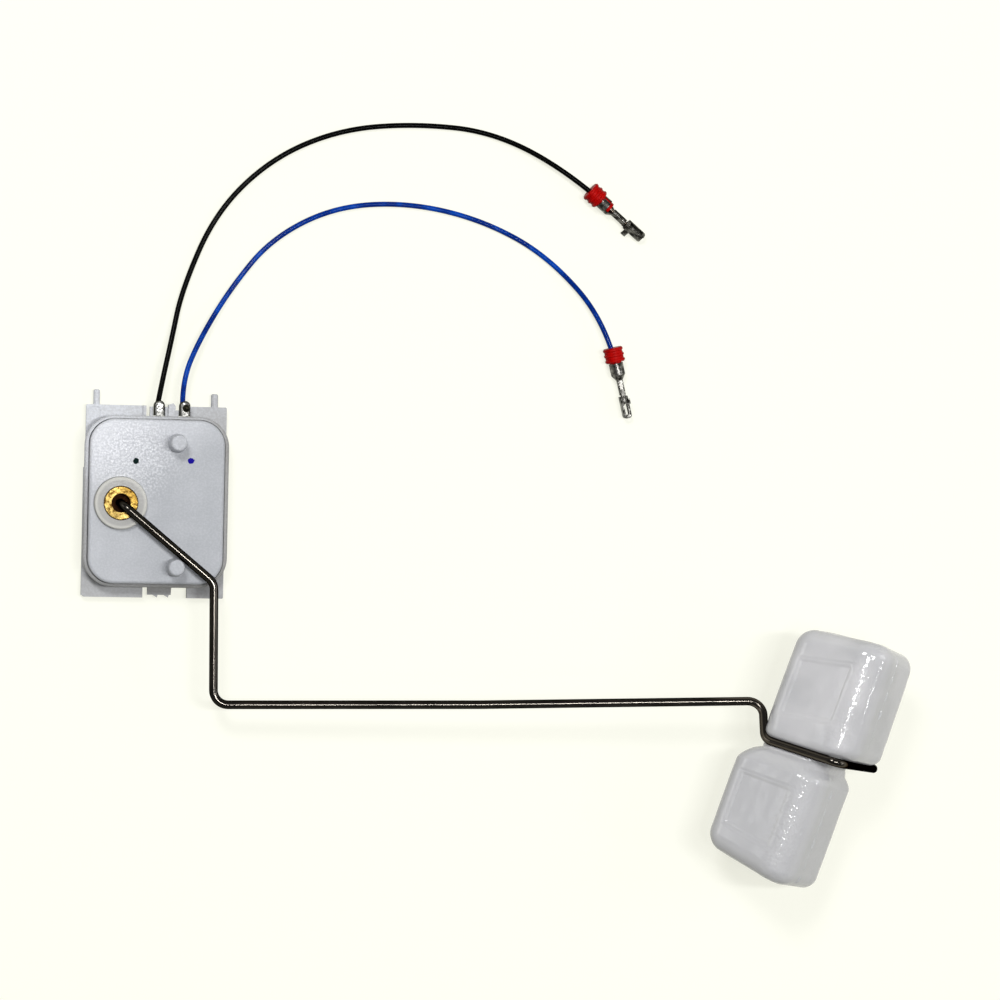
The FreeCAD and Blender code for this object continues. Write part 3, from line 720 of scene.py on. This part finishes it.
def ring_of(left, right, front, back, corners):
    """The points of one rounded outline, in order."""
    points = []
    middles = [
        (right - corners[0], front - corners[0]), (left + corners[1], front - corners[1]),
        (left + corners[2], back + corners[2]), (right - corners[3], back + corners[3]),
    ]
    arcs = []
    for i, (x, z) in enumerate(middles):
        turns = [math.radians(90 * i + 90 * k / corner_steps) for k in range(corner_steps + 1)]
        arcs.append([(x + corners[i] * math.cos(t), z + corners[i] * math.sin(t)) for t in turns])
    for i, arc in enumerate(arcs):
        points += arc
        last = Vector(arc[-1])
        goal = Vector(arcs[(i + 1) % 4][0])
        if i in (0, 2):
            steps = shares(front_steps if i == 0 else back_steps)
        else:
            steps = shares(flank_steps, min(max((seam_level - last.y) / (goal.y - last.y), 0.2), 0.8))
        points += [tuple(last.lerp(goal, t)) for t in steps]
    return points


ring_size = len(ring_of(*outline_at(0.0)))
print("each ring has", ring_size, "points")

# %% [markdown]
# Blow moulding leaves marks: a shallow stepped panel on the front, a bead where the mould halves
# meet, and walls that are never quite flat. They move the points of the loft by fractions of a
# millimetre. The ends of both blocks slope as well, and the waist a little less.

# %% Marks of the mould
panel_wide = 14.4
panel_tall = 15.4
panel_along = 18.0
panel_aside = 1.5
panel_border = 1.1
panel_deep = 0.44
border_share = 0.4
panel_edge = 0.3
panel_tilt = 0.09
bead_high = 0.3
bead_half = 0.34
bead_start = (6.0, 9.0)
end_slope = (0.1324, -0.1397)
end_fall = 0.045
waist_slope = 0.0588
slope_margin = 4.0
long_wave = (0.11, 0.14)
short_wave = (0.33, 0.04)
wall_inset = 0.15


def step_up(value, low, high):
    """0 below low, 1 above high, and a soft step between them."""
    t = min(max((value - low) / (high - low), 0.0), 1.0)
    return t * t * (3 - 2 * t)


def inside_panel(x, y, border):
    """1 inside a square on the front of each block, 0 outside it."""
    lobe = 1 if y > 0 else -1
    over = x - lobe * float_shift + panel_aside
    tilt = panel_tilt if lobe > 0 else 0.0
    across = abs(over) - panel_wide / 2 - border
    along = abs(abs(y) - panel_along - tilt * over) - panel_tall / 2 - border
    return (1 - step_up(across, -panel_edge, panel_edge)) * (1 - step_up(along, -panel_edge, panel_edge))


def end_share(y):
    """0 near the waist and 1 near the ends."""
    return step_up(abs(y), slope_margin, (upper_end if y > 0 else lower_end) - slope_margin)


def moulded(x, y, z):
    """Moves a point of the plain loft to where the mould puts it."""
    upper = y > 0
    lobe = 1 if upper else -1
    half = float_side / 2
    outward = x - lobe * float_shift
    share = end_share(y)
    lean = waist_slope * (1 - share) + end_slope[0 if upper else 1] * share
    fall = end_fall * share * (half - z) if upper else 0.0
    sunk = border_share * inside_panel(x, y, panel_border)
    sunk += (1 - border_share) * inside_panel(x, y, 0.0)
    uneven = max(0.45 + 1.5 * noise.noise(Vector((0, y * 0.4, lobe))), 0.1)
    bead = bead_high * uneven * (1 - step_up(abs(z - seam_level), 0.0, bead_half))
    bead *= step_up(abs(outward), half - 1.5, half - 0.5) * step_up(abs(y), *bead_start)
    wave = -wall_inset
    for pace, height in (long_wave, short_wave):
        wave += noise.noise(Vector((x, y, z)) * pace) * height
    push = Vector((outward, 0, z)).normalized() * wave
    turned_about = lobe * float_shift * step_up(abs(y), slope_margin, 3 * slope_margin)
    return Vector((
        x + math.copysign(bead, outward) + push.x,
        y + lean * (x - turned_about) - fall,
        z - panel_deep * sunk * step_up(z, half - 1.0, half - 0.2) + push.z,
    ))


print("panels are", panel_wide, "by", panel_tall, "mm")

# %% [markdown]
# Now the rings are stacked. They stand close together where the skin bends, and each end is closed
# by smaller and smaller rings.

# %% Loft the float
end_rings = 12
wall_rings = 64
waist_rings = 20
cap_shares = (0.8, 0.6, 0.4, 0.2)
cap_crown = 0.35


def stations(end):
    """Places along one block, from the waist to its end."""
    flat = end - round_edge
    neck = waist_gap + waist_reach
    turns = [math.radians(90 * k / end_rings) for k in range(end_rings)]
    places = [flat + round_edge * math.cos(turn) for turn in turns]
    places += [flat + (neck - flat) * k / wall_rings for k in range(wall_rings)]
    places += [neck * (1 - k / waist_rings) for k in range(waist_rings)]
    return sorted(places)


def cap(points, faces, base, outward):
    """Closes one end with rings that shrink to a point."""
    centre = sum((points[base + k] for k in range(ring_size)), Vector()) / ring_size
    centre.y += cap_crown * outward
    last = base
    for share in cap_shares:
        first = len(points)
        for k in range(ring_size):
            edge = points[base + k]
            spot = centre.lerp(edge, share)
            spot.y = edge.y + (centre.y - edge.y) * (1 - share ** 2)
            points.append(spot)
        for k in range(ring_size):
            n = (k + 1) % ring_size
            quad = (last + k, first + k, first + n, last + n)
            faces.append(quad if outward > 0 else quad[::-1])
        last = first
    points.append(centre)
    for k in range(ring_size):
        n = (k + 1) % ring_size
        fan = (last + k, len(points) - 1, last + n)
        faces.append(fan if outward > 0 else fan[::-1])


def loft_float():
    """The skin of the float as one mesh, set in its place on the arm."""
    points = []
    faces = []
    rows = [-y for y in reversed(stations(lower_end))] + stations(upper_end)
    for y in rows:
        points += [moulded(x, y, z) for x, z in ring_of(*outline_at(y))]
    for r in range(len(rows) - 1):
        for k in range(ring_size):
            a = r * ring_size + k
            b = r * ring_size + (k + 1) % ring_size
            faces.append((a, a + ring_size, b + ring_size, b))
    cap(points, faces, 0, -1)
    cap(points, faces, (len(rows) - 1) * ring_size, 1)
    mesh = bpy.data.meshes.new("float_shell")
    mesh.from_pydata([p * MM for p in points], [], faces)
    mesh.transform(float_frame)
    mesh.polygons.foreach_set("use_smooth", [True] * len(mesh.polygons))
    mesh.update()
    return mesh


float_shell = bpy.data.objects.new("float_shell", loft_float())
bpy.context.scene.collection.objects.link(float_shell)
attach(float_shell, "arm")
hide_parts("float")
print("float skin has", len(float_shell.data.polygons), "faces")

# %% [markdown]
# The float is glossy white, with a ripple in the blown wall along its round front edge. The ripple
# is a bump, too fine for the mesh, and it breaks the bright streak into flecks.

# %% Float finish
material, finish = new_finish("blown_white")
spot = finish.place()
middle = tuple(float_frame.translation / MM)
offset = finish.vector("SUBTRACT", spot, middle)
across_float = tuple(float_frame.col[0][:3])
along_float = tuple(float_frame.col[1][:3])
lower = 1 - finish.along(offset, along_float).fade(-5.0, 2.0)
outward = finish.along(offset, across_float) + (lower * 2 - 1) * float_shift
on_round = outward.fade(2.0, 8.0) * (1 - 0.75 * outward.fade(11.0, 13.4))
cloud = finish.clouds(spot, 14.0, 2.0).fade(0.35, 0.65)
wall = finish.clouds(spot, 1.5, 1.0) + 0.4 * finish.clouds(spot, 0.8, 1.0)
ripple = wall * (0.10 + on_round * (0.70 + 0.45 * lower))
shaded, bright = colour(0.545, 0.545, 0.555), colour(0.63, 0.625, 0.635)
sockets = {
    # painted shade: the lower block is painted a little darker than the upper one
    "Base Color": finish.tint(cloud * (1 - 0.8 * lower), shaded, bright),
    "Roughness": 0.08 + 0.07 * finish.clouds(spot, 3.0, 2.0),
    "IOR": 1.55,
    "Subsurface Weight": 0.2,
    "Subsurface Radius": (1.0, 1.0, 1.1),
    "Subsurface Scale": 2.0 * MM,
    "Normal": finish.relief(ripple, 0.17, 0.8),
}
finish.surface(finish.coat(sockets))
wear(float_shell, material)
print("float wears glossy white")

# %% Finish
bpy.context.view_layer.update()
